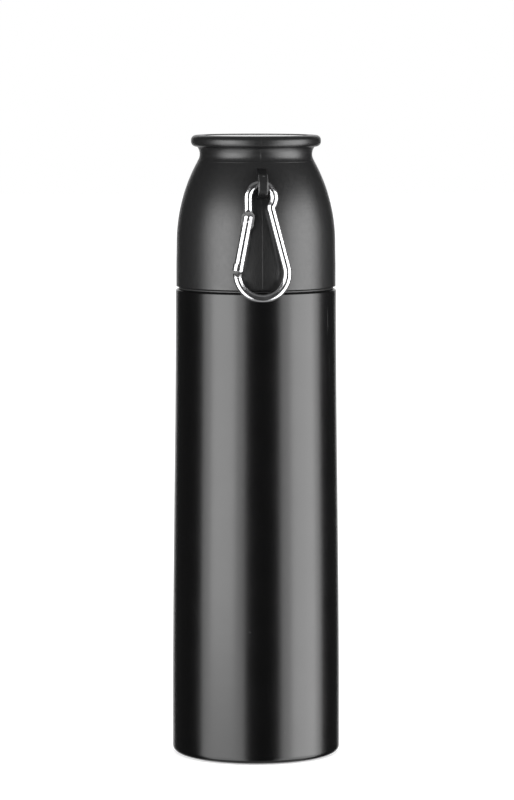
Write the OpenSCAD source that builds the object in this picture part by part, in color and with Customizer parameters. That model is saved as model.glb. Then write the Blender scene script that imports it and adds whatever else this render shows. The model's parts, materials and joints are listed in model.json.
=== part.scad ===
// Vacuum flask: steel bottle, pour-through stopper, cup lid with an arch loop, and a carabiner.
// Z is up, the origin is the middle of the foot pad's face, and the loop is on the -Y side.
// Heights from the shoulder up are written for a 196 mm shoulder and moved by rise.

/* [Body] */
// Diameter of the steel body at its base, mm
base_d = 70.4; // [69.4:0.5:78]
// Diameter of the steel body at its shoulder, mm
shoulder_d = 67.2; // [66.6:0.1:67.6]
// Height of the shoulder above the table, mm
shoulder_z = 196; // [140:0.5:260]
// Wall of the outer shell, mm
shell_wall = 0.8; // [0.5:0.1:0.9]
// Radius of the base corner, mm
corner_r = 2.5; // [2.5:0.1:4]

/* [Screw threads] */
// Lead of both two-start threads, mm
thread_lead = 8; // [7.6:0.2:8.8]

/* [Cup] */
// Radius of the bead round the cup's foot rim, mm
bead_r = 2.1; // [1.7:0.1:2.2]
// Width of the arch loop, mm
loop_w = 4; // [3:0.5:4]

/* [Carabiner] */
// Wire diameter, mm
wire_d = 3.6; // [3.2:0.1:3.6]
// Gate diameter, mm
gate_d = 4.3; // [4:0.1:4.3]
// Outward lean of the hanging carabiner, degrees
lean = 4.8; // [4.7:0.1:6]

/* [Hidden] */
$fn = 96;
base_r = base_d / 2;
shoulder_r = shoulder_d / 2;
rise = shoulder_z - 196;
steel_z = 0.25;
lip_z = 212 + rise;
liner_r = 29.8;
z_a = 0.092 * shoulder_z;
z_b = shoulder_z + 1;
ring_r = 29.2;
loop_c = [-33.1, 240.6];

function smooth(t) = let (u = max(0, min(1, t))) u * u * (3 - 2 * u);
function body_r(z) = base_r - (base_r - shoulder_r) * smooth((z - z_a) / (z_b - z_a));
function liner_out(z) = liner_r - (liner_r - 22.2) * smooth((z - shoulder_z + 13) / 10);
function arc(c, r, a0, a1, n) =
  [for (i = [0 : n]) let (a = a0 + (a1 - a0) * i / n) [c[0] + r * cos(a), c[1] + r * sin(a)]];
function wall(z0, z1, n, inset) =
  [for (i = [0 : n]) let (z = z0 + (z1 - z0) * i / n) [body_r(z) - inset, z]];
function liner_wall(z0, z1, n, inset) =
  [for (i = [0 : n]) let (z = z0 + (z1 - z0) * i / n) [liner_out(z) - inset, z]];

module revolve(points) rotate_extrude() polygon(points);
module ring(r0, r1, z0, z1) revolve([[r0, z0], [r1, z0], [r1, z1], [r0, z1]]);
module raised() translate([0, 0, rise]) children();

// Tube swept along a helix: each section is a closed loop of [radius, height] points.
module sweep(sections, angles) {
  m = len(sections[0]);
  n = len(sections) - 1;
  points = [for (i = [0 : n]) for (p = sections[i]) [p[0] * cos(angles[i]), p[0] * sin(angles[i]), p[1]]];
  sides = [for (i = [0 : n - 1]) for (j = [0 : m - 1]) let (k = (j + 1) % m)
    each [[i * m + j, i * m + k, (i + 1) * m + k], [i * m + j, (i + 1) * m + k, (i + 1) * m + j]]];
  ends = [[for (j = [m - 1 : -1 : 0]) j], [for (j = [0 : m - 1]) n * m + j]];
  polyhedron(points = points, faces = concat(sides, ends));
}

// One turn of a two-start ridge from root radius r0 to crest radius r1, fading out at both ends.
module thread(r0, r1, z) {
  n = 24;
  for (start = [0, 180]) rotate([0, 0, start]) {
    sections = [for (i = [0 : n])
      let (h = z + thread_lead * i / n, e = min(1, (i + 0.6) / 3, (n - i + 0.6) / 3))
      let (c = r0 + (r1 - r0) * (0.3 + 0.7 * e), s = r1 > r0 ? 1 : -1)
      s > 0 ? [[r0, h - 0.9], [c, h - 0.5], [c, h + 0.5], [r0, h + 0.9]]
            : [[r0, h + 0.9], [c, h + 0.5], [c, h - 0.5], [r0, h - 0.9]]];
    sweep(sections, [for (i = [0 : n]) 360 * i / n]);
  }
}

// Coil of round wire standing on z0, its top at z1.
module coil(r, wire_r, z0, z1, turns, steps) {
  n = turns * steps;
  sections = [for (i = [0 : n]) let (h = z0 + wire_r + (z1 - z0 - 2 * wire_r) * i / n)
    [for (j = [0 : 5]) [r + wire_r * cos(60 * j), h + wire_r * sin(60 * j)]]];
  sweep(sections, [for (i = [0 : n]) 360 * i / steps]);
}

module outer_shell() color([0.04, 0.04, 0.04]) revolve(concat(
  [[ring_r, steel_z]],
  arc([base_r - corner_r, steel_z + corner_r], corner_r, -90, 0, 8),
  wall(12, shoulder_z - 1, 26, 0),
  arc([shoulder_r - 1, shoulder_z - 1], 1, 0, 90, 5),
  [[23.7, shoulder_z], [23.7, lip_z - 0.6], [22.9, lip_z - 0.6], [22.9, shoulder_z - 0.8]],
  arc([shoulder_r - 1.2, shoulder_z - 1.2], 0.4, 90, 0, 3),
  wall(shoulder_z - 2, 12, 26, shell_wall),
  arc([base_r - corner_r, steel_z + corner_r], corner_r - shell_wall, 0, -90, 6),
  [[ring_r, steel_z + shell_wall]]));

module neck_collar() color([0.05, 0.05, 0.05]) raised() {
  revolve([[23.7, 196], [32, 196], [32.3, 196.2], [32.3, 196.6], [32.1, 196.8], [24.9, 196.8],
    [24.9, 209.8], [24.5, 210.2], [23.7, 210.2]]);
  thread(24.6, 25.9, 200.4);
}

module inner_liner() color([0.7, 0.7, 0.7]) revolve(concat(
  [[liner_r - 0.6, 10.1], [liner_r, 10.1]],
  liner_wall(shoulder_z - 13, shoulder_z - 3, 12, 0),
  [[22.2, lip_z - 0.6], [23.7, lip_z - 0.6], [23.7, lip_z - 0.2], [23.5, lip_z],
    [21.8, lip_z], [21.6, lip_z - 0.2]],
  liner_wall(shoulder_z - 3, shoulder_z - 13, 12, 0.6)));

module inner_base() color([0.7, 0.7, 0.7])
  revolve([[0, 11.4], [0, 10.8], [20, 10.6], [26, 9.5], [liner_r, 9.5], [liner_r, 10.1],
    [26.2, 10.1], [20.2, 11.2]]);

module radiation_foil() color([0.8, 0.5, 0.3]) ring(liner_r, liner_r + 0.2, 15, shoulder_z - 16);

module outer_base() color([0.65, 0.65, 0.65]) difference() {
  revolve([[0, 5.6], [8, 5.6], [12, 5], [base_r - 0.8, 5], [base_r - 0.8, 9], [base_r - 1.5, 9],
    [base_r - 1.5, 5.7], [12.2, 5.7], [8.2, 6.3], [0, 6.3]]);
  cylinder(h = 20, r = 1.5, center = true);
}

module getter() color([0.5, 0.5, 0.55]) translate([20, 0, 6]) cylinder(h = 2, r = 3.6);

module getter_clip() color([0.75, 0.75, 0.75]) translate([20, 0, 5.7]) {
  translate([-5, -1.5, 0]) cube([10, 3, 0.3]);
  translate([-5, -1.5, 0]) cube([1.4, 3, 2.6]);
  translate([3.6, -1.5, 0]) cube([1.4, 3, 2.6]);
}

module vacuum_seal_plug() color([0.4, 0.4, 0.4])
  revolve([[0, 4.8], [1.8, 4.9], [2.4, 5.2], [2.4, 5.6], [1.5, 5.6], [1.5, 6.3], [0, 6.3]]);

module base_cover() color([0.6, 0.6, 0.6])
  revolve([[0, 1.5], [28.2, 1.5], [28.4, steel_z], [ring_r, steel_z], [ring_r, 1.1], [28.9, 1.4],
    [28.6, 2.2], [0, 2.2]]);

module foot_pad() color([0.12, 0.12, 0.12]) difference() {
  revolve([[0, 0], [27.4, 0], [27.8, 0.4], [27.8, 1.5], [0, 1.5]]);
  rotate_extrude() translate([22, 0]) circle(r = 0.5, $fn = 24);
}

module stopper_body() color([0.06, 0.06, 0.06]) raised() {
  difference() {
    revolve([[28.4, 197.1], [28.4, 215.4], [27.8, 216], [9, 216], [9, 190], [10.4, 190], [10.4, 213.6],
      [18.8, 213.6], [18.8, 190], [20.4, 190], [20.4, 213.6], [26.4, 213.6], [26.4, 197.1]]);
    translate([-5, 20, 215]) cube([10, 12, 3]);
  }
  thread(28.1, 29.4, 200.4);
  thread(26.7, 25.3, 198.4);
  difference() {
    union() {
      translate([0, 0, 213.6]) cylinder(h = 2.4, r = 6.2);
      for (a = [0, 120, 240]) rotate([0, 0, a]) translate([5, -1.2, 213.6]) cube([4.6, 2.4, 2.4]);
    }
    translate([0, 0, 213]) cylinder(h = 4, r = 2.3);
  }
}

module stopper_gasket() color([0.85, 0.85, 0.85]) raised()
  revolve([[22, 212.1], [24.6, 212.1], [24.6, 213.5], [22, 213.5]]);

module plug_foam() color([0.95, 0.93, 0.85]) raised() ring(10.4, 18.8, 190, 213.6);

module plug_cap() color([0.06, 0.06, 0.06]) raised()
  revolve([[7.6, 188.6], [19.8, 188.6], [20.4, 189.2], [20.4, 190], [7.6, 190]]);

module plug_seal() color([0.85, 0.85, 0.85]) raised()
  revolve([[20.4, 191.4], [20.9, 191.4], [21.2, 192.2], [20.9, 193], [20.9, 194], [21.2, 194.8],
    [20.9, 195.6], [20.4, 195.6]]);

module button_guide() color([0.06, 0.06, 0.06]) raised() difference() {
  revolve([[12, 216], [14, 216], [14, 223.2], [13.6, 223.6], [12.4, 223.6], [12, 223.2]]);
  translate([-4, 8, 217]) cube([8, 10, 3.4]);
}

module push_button() color([0.4, 0.4, 0.4]) raised() revolve(concat(
  [[0, 226.7]], arc([10.5, 225.3], 1.2, 80, 0, 5),
  [[11.7, 220.5], [10.3, 220.5], [10.3, 224.9], [4, 224.9], [4, 220.5], [2, 220.5],
    [2, 224.9], [0, 224.9]]));

module valve_stem() color([0.75, 0.75, 0.75]) raised()
  revolve([[0, 183.9], [3.4, 183.9], [3.4, 184.9], [2, 184.9], [2, 224.9], [0, 224.9]]);

module valve_disc() color([0.06, 0.06, 0.06]) raised() ring(2, 9.2, 184.9, 186.9);

module valve_seal() color([0.85, 0.85, 0.85]) raised() ring(2, 9.8, 186.9, 188.5);

module button_spring() color([0.75, 0.75, 0.75]) raised() coil(5.3, 0.4, 216, 224.9, 5, 18);

// Arch loop round the carabiner wire: a ring with rounded edges and two roots in the dome.
module loop() {
  w = loop_w / 2;
  section = concat(arc([3.4, 0.6 - w], 0.6, 180, 270, 3), arc([4.15, 0.6 - w], 0.6, 270, 360, 3),
    arc([4.15, w - 0.6], 0.6, 0, 90, 3), arc([3.4, w - 0.6], 0.6, 90, 180, 3));
  translate([0, loop_c[0], loop_c[1]]) rotate([0, 90, 0]) rotate_extrude() polygon(section);
  difference() {
    rotate([90, 0, 90]) translate([0, 0, 0.2 - w]) linear_extrude(height = loop_w - 0.4)
      polygon([[-34.5, 245], [-33.3, 245.3], [-30.8, 246], [-27.8, 246.8], [-24.9, 247.1], [-24.9, 245.6],
        [-26.9, 240], [-28.6, 235], [-29.9, 234.6], [-32.5, 235.5], [-34.5, 236.2]]);
    translate([-5, loop_c[0], loop_c[1]]) rotate([0, 90, 0]) cylinder(h = 10, r = 2.9);
    translate([-5, -45, 225]) cube([10, 11.9, 40]);
  }
}

module cup_shell() color([0.05, 0.05, 0.05]) raised() {
  revolve(concat(
    [[31.5, 197.1]], arc([33.2, 197.25], 0.15, -90, 0, 3), [[33.35, 206], [33.2, 215.2]],
    arc([-37.4, 215.2], 70.6, 1, 28.79, 22),
    arc([28.4, 252.3], 4.9, 214.85, 150, 12),
    [[24.5, 255.25]],
    arc([27.15 - bead_r, 257.5], bead_r, -75, 0, 9),
    arc([27.15 - bead_r, 260.2 - bead_r], bead_r, 0, 90, 9),
    [[22.3, 260.2], [22.05, 259.95], [22.05, 259], [20.8, 259], [20.8, 248.2], [19.8, 247.2],
      [0, 247.2], [0, 245.2]],
    arc([-37.4, 215.2], 68.7, 25.89, 0, 16),
    [[31.1, 214], [31.1, 197.5]]));
  loop();
}

module cup_liner() color([0.55, 0.55, 0.55]) raised() {
  revolve(concat(
    [[29.9, 197.4], [31.1, 197.4]], arc([-28.9, 212], 60, 0, 30, 16), [[20, 243.2], [0, 243.2], [0, 242]],
    [[19.6, 242]], arc([-28.9, 212], 58.8, 29.6, 0, 16)));
  ring(28.2, 30, 217.8, 219);
  thread(30.2, 28.8, 198.4);
}

module cup_gasket() color([0.85, 0.85, 0.85]) raised()
  revolve([[26.8, 216.1], [29.2, 216.1], [29.2, 217.7], [26.8, 217.7]]);

module top_plate() color([0.8, 0.8, 0.8]) raised()
  revolve([[0, 259], [22.05, 259], [22.05, 259.65], [21.9, 259.8], [0, 259.8]]);

// Carabiner outline in its own plane: x across, z up, both from the top of the wire.
module hang() raised() translate([0, loop_c[0], loop_c[1]]) rotate([-lean, 0, 0])
  translate([0, 0, 1.7]) children();
// Neighbouring lengths differ by hundredths of a millimetre and lap 0.15 mm, to join as one wire.
module bend(c, r, a0, a1, d = wire_d) translate([c[0], 0, c[1]]) rotate([90, 0, 0]) rotate([0, 0, a0])
  rotate_extrude(angle = a1 - a0) translate([r, 0]) circle(d = d, $fn = 48);
module bar(p, q, d = wire_d - 0.04) translate([p[0], 0, p[1]])
  rotate([0, atan2(q[0] - p[0], q[1] - p[1]), 0]) translate([0, 0, -0.15])
    cylinder(h = norm(q - p) + 0.3, d = d, $fn = 48);
gate_p = [-6.34, -16.7];
gate_tilt = 11;
top_c = [-0.67, -7];
top_r = 5.37;
foot_c = [-0.35, -38];
foot_r = 10.3;
top_a = 35;
leg_a = 14.5;
leg_n = [cos(leg_a), sin(leg_a)];
waist_r = (leg_n * (foot_c - top_c) + foot_r - top_r * cos(top_a + leg_a)) / (cos(top_a + leg_a) - 1);
waist_c = top_c + (top_r + waist_r) * [cos(top_a), -sin(top_a)];
module gate_place() hang() translate([gate_p[0], 0, gate_p[1]]) rotate([0, gate_tilt, 0]) children();

module carabiner_frame() color([0.8, 0.8, 0.82]) hang() {
  difference() {
    bar([top_c[0] - top_r, -14.4], [top_c[0] - top_r, -7]);
    for (s = [-1, 1]) translate([0, -0.6 * s, -14.4]) rotate([25 * s, 0, 0])
      translate([-10, s > 0 ? -4 : 0, -2]) cube([8, 4, 8]);
  }
  difference() {
    union() {
      translate([-6, 0.6, -15.2]) rotate([90, 0, 0]) cylinder(h = 1.2, r = 2.7);
      translate([-6.5, 0.6, -17.9]) rotate([90, 0, 0]) cylinder(h = 1.2, r = 2.7);
      translate([-6.5, -0.6, -17.9]) rotate([0, 10.49, 0]) translate([-2.6, 0, -0.2]) cube([5.2, 1.2, 3.1]);
    }
    translate([gate_p[0], 5, gate_p[1]]) rotate([90, 0, 0]) cylinder(h = 10, r = 0.8, $fn = 32);
  }
  bend(top_c, top_r, -top_a, 180);
  bend(waist_c, waist_r, 177 - top_a, 180 + leg_a, wire_d - 0.02);
  bar(waist_c - waist_r * leg_n, foot_c + foot_r * leg_n);
  difference() {
    bend(foot_c, foot_r, -180, leg_a);
    translate([foot_c[0] - foot_r, 0.5, foot_c[1]]) rotate([90, 0, 0]) cylinder(h = 4, r = 1.4, $fn = 48);
  }
}

module gate_hinge_pin() color([0.7, 0.7, 0.7]) hang() translate([gate_p[0], 1.95, gate_p[1]])
  rotate([90, 0, 0]) cylinder(h = 3.9, r = 0.8, $fn = 32);

module carabiner_gate() color([0.8, 0.8, 0.82]) gate_place() difference() {
  translate([0, 0, -21.1]) union() {
    translate([0, 0, 0.3]) cylinder(h = 22.8, d = gate_d, $fn = 48);
    cylinder(h = 0.3, d1 = gate_d - 0.6, d2 = gate_d, $fn = 48);
    translate([-0.35, 0, 0.25]) cylinder(h = 2.8, d = gate_d - 0.05, $fn = 48);
    translate([-0.35, 0, 3.05]) cylinder(h = 0.8, d1 = gate_d - 0.05, d2 = gate_d - 0.85, $fn = 48);
  }
  translate([-4, -0.9, -5.2]) cube([8, 1.8, 8]);
  translate([0, 5, 0]) rotate([90, 0, 0]) cylinder(h = 10, r = 0.86, $fn = 32);
  translate([0, 0, -15]) cylinder(h = 11, r = 1.05, $fn = 32);
}

module gate_plunger() color([0.7, 0.7, 0.7]) gate_place() translate([0, 0, -8.4]) {
  cylinder(h = 2.6, r = 1.05, $fn = 32);
  cylinder(h = 3.6, r = 0.6, $fn = 32);
}

module gate_spring() color([0.7, 0.7, 0.7]) gate_place() coil(0.78, 0.2, -15, -8.4, 6, 12);

outer_shell();
neck_collar();
inner_liner();
inner_base();
radiation_foil();
outer_base();
getter();
getter_clip();
vacuum_seal_plug();
base_cover();
foot_pad();
stopper_body();
stopper_gasket();
plug_foam();
plug_cap();
plug_seal();
button_guide();
push_button();
valve_stem();
valve_disc();
valve_seal();
button_spring();
cup_shell();
cup_liner();
cup_gasket();
top_plate();
carabiner_frame();
gate_hinge_pin();
carabiner_gate();
gate_plunger();
gate_spring();
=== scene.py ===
"""Vacuum flask with cup lid and carabiner: materials, fine detail, studio light and camera."""

import json
import math

import bpy
from mathutils import Matrix, Vector
from mathutils.bvhtree import BVHTree


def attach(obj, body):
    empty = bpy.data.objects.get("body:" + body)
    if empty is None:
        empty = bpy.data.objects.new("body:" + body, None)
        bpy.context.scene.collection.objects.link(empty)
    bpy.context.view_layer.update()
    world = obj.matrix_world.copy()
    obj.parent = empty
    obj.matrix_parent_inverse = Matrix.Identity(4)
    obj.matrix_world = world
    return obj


MM = 0.001
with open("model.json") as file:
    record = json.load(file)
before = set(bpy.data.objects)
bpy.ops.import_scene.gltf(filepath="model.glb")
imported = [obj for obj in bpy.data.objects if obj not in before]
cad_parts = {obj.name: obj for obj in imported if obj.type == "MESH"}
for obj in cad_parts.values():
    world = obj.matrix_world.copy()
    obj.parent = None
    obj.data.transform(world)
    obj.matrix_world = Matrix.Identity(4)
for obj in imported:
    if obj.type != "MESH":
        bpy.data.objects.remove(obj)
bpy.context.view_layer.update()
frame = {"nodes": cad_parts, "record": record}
NODES = frame["nodes"]

# Camera: distance and height from the flask's axis and foot, metres and degrees.
CAMERA_DISTANCE = 1.595
CAMERA_HEIGHT = 0.2978
CAMERA_PITCH = 5.33
CAMERA_TURN = 4.7  # to the left of the loop's side
CAMERA_ASIDE = 0.00044
CAMERA_LENS = 171.45
SENSOR_WIDTH = 36

# White world and pale floor. The floor lies a hair under the foot, so that the two never share a plane.
WORLD_WHITE = 1.0
FLOOR_LEVEL = -0.0001
FLOOR_SIZE = 12.0
FLOOR_COLOR = (0.8, 0.8, 0.8)
FLOOR_GLOW = 0.35
# Dark tent round the flask, seen only in reflections: from and to in degrees from the camera's side,
# radius, bottom and top in metres, and how much each face glows.
TENT_TURNS = (-156, 158)
TENT_RADIUS, TENT_LOW, TENT_HIGH = 1.4, -1.8, 1.5
TENT_STEPS, TENT_DISC_SIDES = 40, 48
CEILING_GLOW = 0.2
UNDER_GLOW = 0.5
WALL_GLOW = 0.045
# Side lights, each a broad panel with a brighter one inside it: name, turn from the camera's side
# in degrees, width, bottom and top in metres, radiance.
SOFTBOXES = [
    ("left_broad", -47.3, 1.14, -1.1, 0.6, 3.3),
    ("left_core", -47, 0.6, -0.1, 0.58, 3.4),
    ("right_broad", 67.8, 1.2, -1.1, 0.6, 3.6),
    ("right_core", 70, 0.66, -0.28, 0.58, 3.1),
]
PANEL_DISTANCE = 0.9

# Colours used more than once.
BODY_BLACK = (0.0008, 0.0008, 0.0009)
MARK_GREY = (0.09, 0.09, 0.09)
WIRE_COLOR = (0.6, 0.6, 0.61)
# Stamped wire: a darker grey as painted shade on the tongue and inside the nose.
STAMPED_SHADE_GREY = (0.3, 0.3, 0.3)
# Painted light and shade: lighter than the black moulding for painted highlights on the loop, darker than the
# wire for painted shade on the gate.
HIGHLIGHT_AND_SHADE_GREY = (0.05, 0.05, 0.05)


# ---------------------------------------------------------------- node helpers
class Shader:
    """A Principled material with short calls for the noises and ramps that feed it."""

    def __init__(self, name, color, roughness, metallic=0.0, **extra):
        self.mat = bpy.data.materials.new(name)
        self.mat.use_nodes = True
        self.nodes = self.mat.node_tree.nodes
        self.links = self.mat.node_tree.links
        self.bsdf = self.nodes["Principled BSDF"]
        self.set("Base Color", (*color, 1.0))
        self.set("Roughness", roughness)
        self.set("Metallic", metallic)
        for key, value in extra.items():
            self.set(key.replace("_", " "), value)
        self.coords = self.nodes.new("ShaderNodeTexCoord").outputs["Object"]
        self.normal = None

    def set(self, socket, value):
        self.bsdf.inputs[socket].default_value = value

    def mapped(self, scale):
        """Object coordinates in metres, stretched by scale."""
        node = self.nodes.new("ShaderNodeMapping")
        node.inputs["Scale"].default_value = scale
        self.links.new(self.coords, node.inputs["Vector"])
        return node.outputs["Vector"]

    def noise(self, scale, detail=2.0, rough=0.5, stretch=(1, 1, 1)):
        node = self.nodes.new("ShaderNodeTexNoise")
        node.inputs["Scale"].default_value = scale
        node.inputs["Detail"].default_value = detail
        node.inputs["Roughness"].default_value = rough
        self.links.new(self.mapped(stretch), node.inputs["Vector"])
        return node.outputs["Fac"]

    def cells(self, scale, stretch=(1, 1, 1)):
        node = self.nodes.new("ShaderNodeTexVoronoi")
        node.inputs["Scale"].default_value = scale
        self.links.new(self.mapped(stretch), node.inputs["Vector"])
        return node.outputs["Distance"]

    def span(self, value, from_low, from_high, to_low, to_high):
        node = self.nodes.new("ShaderNodeMapRange")
        limits = {"From Min": from_low, "From Max": from_high, "To Min": to_low, "To Max": to_high}
        for key, number in limits.items():
            node.inputs[key].default_value = number
        self.links.new(value, node.inputs["Value"])
        return node.outputs["Result"]

    def math(self, operation, a, b):
        node = self.nodes.new("ShaderNodeMath")
        node.operation = operation
        for socket, value in zip(node.inputs, (a, b)):
            if isinstance(value, (int, float)):
                socket.default_value = value
            else:
                self.links.new(value, socket)
        return node.outputs["Value"]

    def mix(self, factor, a, b):
        node = self.nodes.new("ShaderNodeMix")
        node.data_type = "RGBA"
        node.inputs[6].default_value = (*a, 1.0)
        node.inputs[7].default_value = (*b, 1.0)
        self.links.new(factor, node.inputs[0])
        return node.outputs[2]

    def axis(self, letter):
        """One object coordinate in metres."""
        node = self.nodes.new("ShaderNodeSeparateXYZ")
        self.links.new(self.coords, node.inputs[0])
        return node.outputs[letter]

    def height(self):
        """Height in metres above the foot."""
        return self.axis("Z")

    def feed(self, socket, value):
        self.links.new(value, self.bsdf.inputs[socket])

    def bump(self, value, depth, strength=1.0):
        node = self.nodes.new("ShaderNodeBump")
        node.inputs["Strength"].default_value = strength
        node.inputs["Distance"].default_value = depth
        self.links.new(value, node.inputs["Height"])
        if self.normal:
            self.links.new(self.normal, node.inputs["Normal"])
        self.normal = node.outputs["Normal"]
        self.links.new(self.normal, self.bsdf.inputs["Normal"])


def body_paint():
    """Satin black powder paint: fine orange peel, dust specks and a few faint scratches."""
    s = Shader("satin_black_paint", BODY_BLACK, 0.235)
    s.bump(s.noise(900, 3), 0.00002, 0.25)
    s.bump(s.noise(260, 2), 0.00003, 0.12)
    s.feed("Roughness", s.span(s.noise(60, 4), 0.3, 0.7, 0.22, 0.25))
    specks = s.span(s.cells(190), 0.02, 0.05, 1.0, 0.0)
    chance = s.span(s.noise(75, 1), 0.66, 0.7, 0.0, 1.0)
    scratches = s.span(s.noise(1, 2, 0.5, (2300, 2300, 25)), 0.66, 0.7, 0.0, 0.5)
    right = s.span(s.axis("X"), 0.025, 0.028, 0.0, 1.0)
    high = s.span(s.height(), 0.15, 0.185, 0.0, 1.0)
    patch = s.math("MULTIPLY", right, high)
    marks = s.math("MAXIMUM", s.math("MULTIPLY", specks, chance), s.math("MULTIPLY", scratches, patch))
    s.feed("Base Color", s.mix(marks, BODY_BLACK, MARK_GREY))
    return s.mat


def cap_plastic():
    """Moulded black plastic with a fine spark-eroded grain."""
    s = Shader("matte_black_moulding", (0.007, 0.007, 0.0072), 0.34)
    s.bump(s.noise(1500, 2), 0.00004, 0.35)
    s.feed("Roughness", s.span(s.noise(700, 3), 0.3, 0.7, 0.31, 0.38))
    return s.mat


def dark_plastic():
    """Collar, stopper and valve mouldings."""
    s = Shader("black_polypropylene", (0.018, 0.018, 0.018), 0.45)
    s.bump(s.noise(900, 2), 0.00003, 0.3)
    s.feed("Roughness", s.span(s.noise(120, 3), 0.3, 0.7, 0.4, 0.5))
    return s.mat


def grey_plastic():
    """Push button and cup lining."""
    s = Shader("grey_polypropylene", (0.16, 0.16, 0.165), 0.4)
    s.bump(s.noise(700, 2), 0.00003, 0.25)
    s.feed("Roughness", s.span(s.noise(150, 3), 0.3, 0.7, 0.34, 0.46))
    return s.mat


def drawn_steel():
    """Stainless sheet with rings left by spinning."""
    s = Shader("drawn_stainless", (0.56, 0.55, 0.54), 0.3, 1.0)
    rings = s.noise(500, 3, 0.6, (0.02, 0.02, 3.0))
    s.bump(rings, 0.00003, 0.3)
    s.feed("Roughness", s.span(rings, 0.3, 0.7, 0.24, 0.38))
    return s.mat


def plate_metal():
    """Pale satin aluminium disc with a fine circular brush."""
    s = Shader("satin_aluminium", (0.86, 0.86, 0.87), 0.34, 1.0)
    grain = s.noise(400, 3, 0.6, (6.0, 0.1, 1.0))
    s.bump(grain, 0.00002, 0.2)
    s.feed("Roughness", s.span(grain, 0.3, 0.7, 0.3, 0.42))
    return s.mat


def polished_wire(stamped=False):
    """Plated wire, polished, with drawing marks. The stamped kind is rough on the flattened tongue that holds
    the gate and in the scooped nose that it closes on, and darker there, which is painted shade."""
    s = Shader("stamped_wire_with_painted_shade" if stamped else "polished_plated_wire", WIRE_COLOR, 0.2, 1.0)
    s.bump(s.noise(500, 3), 0.00003, 0.06)
    polish = s.span(s.noise(330, 4, 0.6), 0.35, 0.7, 0.15, 0.26)
    if not stamped:
        s.feed("Roughness", polish)
        return s.mat
    x, z = s.axis("X"), s.height()
    left = s.span(x, -0.0035, -0.003, 1.0, 0.0)
    tongue = s.math("MULTIPLY", s.span(z, 0.2205, 0.2208, 0.0, 1.0), s.span(z, 0.2296, 0.2299, 1.0, 0.0))
    nose = s.math("MULTIPLY", s.span(z, 0.2028, 0.203, 0.0, 1.0), s.span(z, 0.2044, 0.2046, 1.0, 0.0))
    inner = s.span(x, -0.0121, -0.0118, 0.0, 1.0)  # leaves the nose's outer lip bright
    rough = s.math("MULTIPLY", s.math("MAXIMUM", tongue, s.math("MULTIPLY", nose, inner)), left)
    grain = s.span(s.noise(1300, 3), 0.3, 0.7, 0.35, 0.6)
    s.feed("Roughness", s.math("MAXIMUM", polish, s.math("MULTIPLY", rough, grain)))
    # Painted shade: the rough tongue and the inside of the nose get a darker grey; the roughness is the real
    # stamped finish.
    s.feed("Base Color", s.mix(rough, WIRE_COLOR, STAMPED_SHADE_GREY))
    return s.mat


def foil_metal():
    """Copper foil round the liner, lightly crinkled."""
    s = Shader("crinkled_copper_foil", (0.75, 0.42, 0.26), 0.25, 1.0)
    s.bump(s.cells(160), 0.0002, 0.5)
    return s.mat


def getter_metal():
    """Sintered getter pill."""
    s = Shader("sintered_getter", (0.12, 0.12, 0.13), 0.75, 0.6)
    s.bump(s.noise(1800, 4), 0.00008, 0.6)
    return s.mat


def braze_metal():
    """Braze that seals the pumping hole."""
    s = Shader("braze", (0.36, 0.27, 0.12), 0.5, 1.0)
    s.bump(s.noise(1200, 3), 0.0001, 0.5)
    return s.mat


def dark_rubber():
    """Dark silicone foot pad."""
    s = Shader("dark_silicone", (0.02, 0.02, 0.021), 0.62)
    s.bump(s.noise(1400, 3), 0.00004, 0.4)
    s.feed("Roughness", s.span(s.noise(90, 3), 0.3, 0.7, 0.55, 0.7))
    return s.mat


def clear_silicone():
    """Milky silicone seals."""
    s = Shader("milky_silicone", (0.62, 0.62, 0.6), 0.38, Subsurface_Weight=0.25, Subsurface_Scale=0.002)
    s.bump(s.noise(900, 2), 0.00003, 0.25)
    return s.mat


def foam():
    """Insulating foam in the plug."""
    s = Shader("plug_foam", (0.78, 0.74, 0.62), 0.85)
    s.bump(s.cells(900), 0.0003, 0.7)
    return s.mat


SLOTS = {
    "body_paint": body_paint, "cap_plastic": cap_plastic, "dark_plastic": dark_plastic,
    "grey_plastic": grey_plastic, "steel": drawn_steel, "plate_metal": plate_metal,
    "polished_wire": polished_wire, "foil": foil_metal, "getter_metal": getter_metal,
    "braze": braze_metal, "dark_rubber": dark_rubber, "clear_silicone": clear_silicone, "foam": foam,
}
MATERIALS = {slot: make() for slot, make in SLOTS.items()}

for part in frame["record"]["subparts"]:
    mesh = NODES[part["node"]].data
    mesh.materials.clear()
    mesh.materials.append(MATERIALS[part["material_slot"]])
NODES["carabiner_frame"].data.materials[0] = polished_wire(stamped=True)


# ---------------------------------------------------------------- fine detail
LOOP_AXIS = Vector((0, -0.0331, 0.2406))
LOOP_RADIUS = 4.56 * MM  # the flash lines' radius about the loop's axis
LOOP_HALF_WIDTH = 1.8 * MM
LEAN, GATE_TILT = math.radians(4.8), math.radians(11)
GATE_RADIUS = 2.15 * MM
# The carabiner's own plane, and the gate's frame: pivot at its origin, gate along its Z.
HANG = Matrix.Translation(LOOP_AXIS) @ Matrix.Rotation(-LEAN, 4, "X") @ Matrix.Translation((0, 0, 1.7 * MM))
GATE = HANG @ Matrix.Translation((-6.34 * MM, 0, -16.7 * MM)) @ Matrix.Rotation(GATE_TILT, 4, "Y")


def tinted(name, color, roughness, metallic=0.0):
    """A plain material with a fine grain."""
    s = Shader(name, color, roughness, metallic)
    s.bump(s.noise(1500, 2), 0.00002, 0.3)
    return s.mat


# Painted highlight: a lighter black for the loop's edge lines and glint, standing in for light caught on the
# edges.
PAINTED_HIGHLIGHT = tinted("painted_highlight_moulding", HIGHLIGHT_AND_SHADE_GREY, 0.3)
# Painted shade: a dark dull metal for the sheet laid in the notch above the hinge pin.
NOTCH_PAINTED_SHADE = tinted("painted_notch_shade", HIGHLIGHT_AND_SHADE_GREY, 0.6, 0.5)


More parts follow.
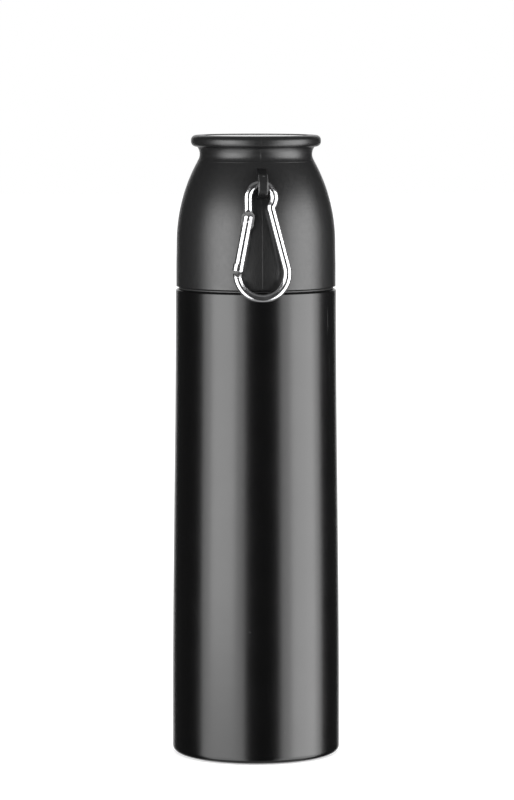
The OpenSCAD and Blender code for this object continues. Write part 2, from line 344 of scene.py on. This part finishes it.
def detail(name, verts, faces, mat, body, slot):
    """A small raised piece that rides on a body."""
    mesh = bpy.data.meshes.new(name)
    mesh.from_pydata([tuple(v) for v in verts], [], faces)
    mesh.validate()
    mesh.polygons.foreach_set("use_smooth", [True] * len(mesh.polygons))
    mesh.materials.append(mat)
    obj = bpy.data.objects.new(name, mesh)
    bpy.context.collection.objects.link(obj)
    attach(obj, body)
    return obj


def grid_faces(rows, across):
    """Faces of a grid of vertices given row by row."""
    return [(r * across + c, r * across + c + 1, (r + 1) * across + c + 1, (r + 1) * across + c)
            for r in range(rows - 1) for c in range(across - 1)]


def mould_line(name, side, low, high, half=0.16 * MM, proud=0.06 * MM):
    """The mould's parting line down the cup, as a thin ridge laid on the wall at X = 0."""
    data = NODES["cup_shell"].data
    tree = BVHTree.FromPolygons([v.co for v in data.vertices], [tuple(p.vertices) for p in data.polygons])
    verts, count = [], int((high - low) / (0.4 * MM))
    for i in range(count + 1):
        z = low + (high - low) * i / count
        hit, normal, _, _ = tree.ray_cast(Vector((0, side * 0.08, z)), Vector((0, -side, 0)))
        if hit is None:
            continue
        edge = side * math.sqrt(hit.y ** 2 - half ** 2)
        sunk = normal * 0.02 * MM
        verts += [Vector((-half, edge, z)) - sunk, hit + normal * proud, Vector((half, edge, z)) - sunk]
    return detail(name, verts, grid_faces(len(verts) // 3, 3), MATERIALS["cap_plastic"], "cup", "cap_plastic")


def tube(name, path, radius, mat, body, slot, sides=8):
    """A thin round line along a path that lies in a plane of constant X, thinner at both ends."""
    verts = []
    for i, point in enumerate(path):
        along = (path[min(i + 1, len(path) - 1)] - path[max(i - 1, 0)]).normalized()
        u = along.cross(Vector((1, 0, 0))).normalized()
        v = along.cross(u)
        fade = radius * min(1.0, 0.25 + i / 3, 0.25 + (len(path) - 1 - i) / 3)
        turns = [2 * math.pi * k / sides for k in range(sides + 1)]
        verts += [point + (u * math.cos(a) + v * math.sin(a)) * fade for a in turns]
    return detail(name, verts, grid_faces(len(path), sides + 1), mat, body, slot)


def dome(name, place, radius, height, mat, body, slot, rings=5, sides=20):
    """A low round head, flat side on the place's XY plane and top along its Z."""
    verts = [place @ Vector((0, 0, height))]
    for r in range(1, rings + 1):
        a = math.pi / 2 * r / rings
        wide, up = radius * math.sin(a), height * math.cos(a)
        turns = [2 * math.pi * k / sides for k in range(sides)]
        verts += [place @ Vector((wide * math.cos(t), wide * math.sin(t), up)) for t in turns]
    faces = [(0, 1 + k, 1 + (k + 1) % sides) for k in range(sides)]
    for r in range(rings - 1):
        a, b = 1 + r * sides, 1 + (r + 1) * sides
        faces += [(a + k, b + k, b + (k + 1) % sides, a + (k + 1) % sides) for k in range(sides)]
    return detail(name, verts, faces, mat, body, slot)


def painted_notch_shade():
    """A dark sheet laid just proud of the gate: painted shade of a small triangular notch above the gate's
    hinge pin.
    """
    verts, rows, across = [], 6, 5
    for r in range(rows):
        z, half = (1.55 - 1.2 * r / (rows - 1)) * MM, (0.06 + 0.6 * r / (rows - 1)) * MM
        for c in range(across):
            x = 0.35 * MM + half * (2 * c / (across - 1) - 1)
            verts.append(GATE @ Vector((x, -math.sqrt(GATE_RADIUS ** 2 - x * x) - 0.015 * MM, z)))
    detail("gate_notch_painted_shade", verts, grid_faces(rows, across), NOTCH_PAINTED_SHADE, "gate", "polished_wire")


def fine_detail():
    """Parting lines, loop flash ridges with painted highlights, a painted glint on the loop, rivet heads and
    painted shade of a notch on the gate.
    """
    mould_line("mould_line_front_low", -1, 0.1979, 0.2338)
    mould_line("mould_line_front_high", -1, 0.2482, 0.2595)
    mould_line("mould_line_back", 1, 0.1979, 0.2595)
    for side in (-1, 1):
        angles = [math.radians(-72 + 6 * k) for k in range(25)]
        path = [LOOP_AXIS + Vector((side * LOOP_HALF_WIDTH, -LOOP_RADIUS * math.cos(a),
                                    LOOP_RADIUS * math.sin(a))) for a in angles]
        # Thin ridges along the loop's edges, lighter in colour as painted highlights.
        tube("loop_flash_painted_highlight_" + ("left" if side < 0 else "right"), path, 0.17 * MM, PAINTED_HIGHLIGHT, "cup",
             "cap_plastic")
        pin = GATE @ Matrix.Rotation(math.radians(90 * -side), 4, "X")
        dome("pin_head_%s" % ("front" if side < 0 else "back"), pin @ Matrix.Translation((0, 0, 1.9 * MM)),
             0.78 * MM, 0.33 * MM, MATERIALS["polished_wire"], "carabiner", "polished_wire")
    # A small dome in the lighter grey: a painted glint near the loop's upper front.
    spot = Matrix.Translation(LOOP_AXIS) @ Matrix.Rotation(math.radians(90 - 50), 4, "X")
    dome("loop_painted_glint", spot @ Matrix.Translation((0.2 * MM, 0, 4.72 * MM)), 0.35 * MM, 0.12 * MM,
         PAINTED_HIGHLIGHT, "cup", "cap_plastic")
    painted_notch_shade()


fine_detail()


# ---------------------------------------------------------------- studio
def aim(obj, target):
    obj.rotation_euler = (Vector(target) - obj.location).to_track_quat("-Z", "Y").to_euler()


def around(turn, distance, height):
    """A point at that angle from the camera's side, positive to the camera's right."""
    a = math.radians(turn - CAMERA_TURN)
    return (distance * math.sin(a), -distance * math.cos(a), height)


def softbox(name, turn, distance, height, wide, tall, power):
    """An area light that faces the flask's axis and that the camera doesn't see."""
    light = bpy.data.lights.new(name, "AREA")
    light.shape = "RECTANGLE"
    light.size, light.size_y, light.energy = wide, tall, power
    obj = bpy.data.objects.new(name, light)
    bpy.context.collection.objects.link(obj)
    obj.location = around(turn, distance, height)
    aim(obj, (0, 0, height))
    obj.visible_camera = False
    return obj


def flat_material(name, color, roughness=0.9, glow=0.0):
    """A dull material without gloss that glows white by the given strength."""
    mat = bpy.data.materials.new(name)
    mat.use_nodes = True
    bsdf = mat.node_tree.nodes["Principled BSDF"]
    bsdf.inputs["Base Color"].default_value = (*color, 1)
    bsdf.inputs["Roughness"].default_value = roughness
    bsdf.inputs["Specular IOR Level"].default_value = 0.0
    bsdf.inputs["Emission Color"].default_value = (1, 1, 1, 1)
    bsdf.inputs["Emission Strength"].default_value = glow
    return mat


def sheet_object(name, corners, mat):
    """One flat face."""
    mesh = bpy.data.meshes.new(name)
    mesh.from_pydata(corners, [], [tuple(range(len(corners)))])
    obj = bpy.data.objects.new(name, mesh)
    bpy.context.collection.objects.link(obj)
    mesh.materials.append(mat)
    return obj


def reflection_card(name, verts, faces, mat):
    """A card that only reflections see: it shapes the dark and light bands on the glossy surfaces."""
    mesh = bpy.data.meshes.new(name)
    mesh.from_pydata(verts, [], faces)
    obj = bpy.data.objects.new(name, mesh)
    bpy.context.collection.objects.link(obj)
    mesh.materials.append(mat)
    obj.visible_camera = obj.visible_diffuse = obj.visible_shadow = obj.visible_transmission = False
    return obj


def dark_tent():
    """Nearly black walls, a dim ceiling and a brighter bottom round the flask, open behind it."""
    first, last = TENT_TURNS
    turns = [first + (last - first) * i / TENT_STEPS for i in range(TENT_STEPS + 1)]
    verts = [around(t, TENT_RADIUS, z) for t in turns for z in (TENT_LOW, TENT_HIGH)]
    strips = [(2 * i, 2 * i + 1, 2 * i + 3, 2 * i + 2) for i in range(TENT_STEPS)]
    walls = reflection_card("tent_walls", verts, strips,
                            flat_material("black_card", (0, 0, 0), glow=WALL_GLOW))
    disc = [around(360 * i / TENT_DISC_SIDES, TENT_RADIUS * 1.05, 0) for i in range(TENT_DISC_SIDES)]
    whole = [tuple(range(TENT_DISC_SIDES))]
    top = reflection_card("tent_ceiling", [(x, y, TENT_HIGH) for x, y, _ in disc], whole,
                          flat_material("dim_card", (0, 0, 0), glow=CEILING_GLOW))
    bottom = reflection_card("tent_bottom", [(x, y, TENT_LOW) for x, y, _ in disc], whole,
                             flat_material("glowing_bottom", (0, 0, 0), glow=UNDER_GLOW))
    return walls, top, bottom


def studio():
    """World, floor, dark tent and side lights."""
    world = bpy.data.worlds.new("studio_white")
    world.use_nodes = True
    world.node_tree.nodes["Background"].inputs["Color"].default_value = (1, 1, 1, 1)
    world.node_tree.nodes["Background"].inputs["Strength"].default_value = WORLD_WHITE
    bpy.context.scene.world = world
    half = FLOOR_SIZE / 2
    corners = [(x * half, y * half, FLOOR_LEVEL) for x, y in ((-1, -1), (1, -1), (1, 1), (-1, 1))]
    floor = sheet_object("floor", corners, flat_material("pale_floor", FLOOR_COLOR, glow=FLOOR_GLOW))
    floor.visible_glossy = False
    dark_tent()
    for name, turn, wide, low, high, radiance in SOFTBOXES:
        tall = high - low
        softbox(name, turn, PANEL_DISTANCE, (low + high) / 2, wide, tall, radiance * math.pi * wide * tall)


def camera():
    """The camera, turned to the left of the loop's side and looking a little down."""
    data = bpy.data.cameras.new("camera")
    data.lens = CAMERA_LENS
    data.sensor_width = SENSOR_WIDTH
    obj = bpy.data.objects.new("camera", data)
    bpy.context.collection.objects.link(obj)
    turn = math.radians(CAMERA_TURN)
    right = Vector((math.cos(turn), -math.sin(turn), 0))
    away = Vector((-math.sin(turn), -math.cos(turn), 0))
    obj.location = away * CAMERA_DISTANCE + right * CAMERA_ASIDE + Vector((0, 0, CAMERA_HEIGHT))
    obj.rotation_mode = "XYZ"
    base = (-away).to_track_quat("-Z", "Y").to_matrix()
    pitch = Matrix.Rotation(math.radians(-CAMERA_PITCH), 3, "X")
    obj.rotation_euler = (base @ pitch).to_euler()
    bpy.context.scene.camera = obj


studio()
camera()
bpy.context.scene.view_settings.view_transform = "Standard"
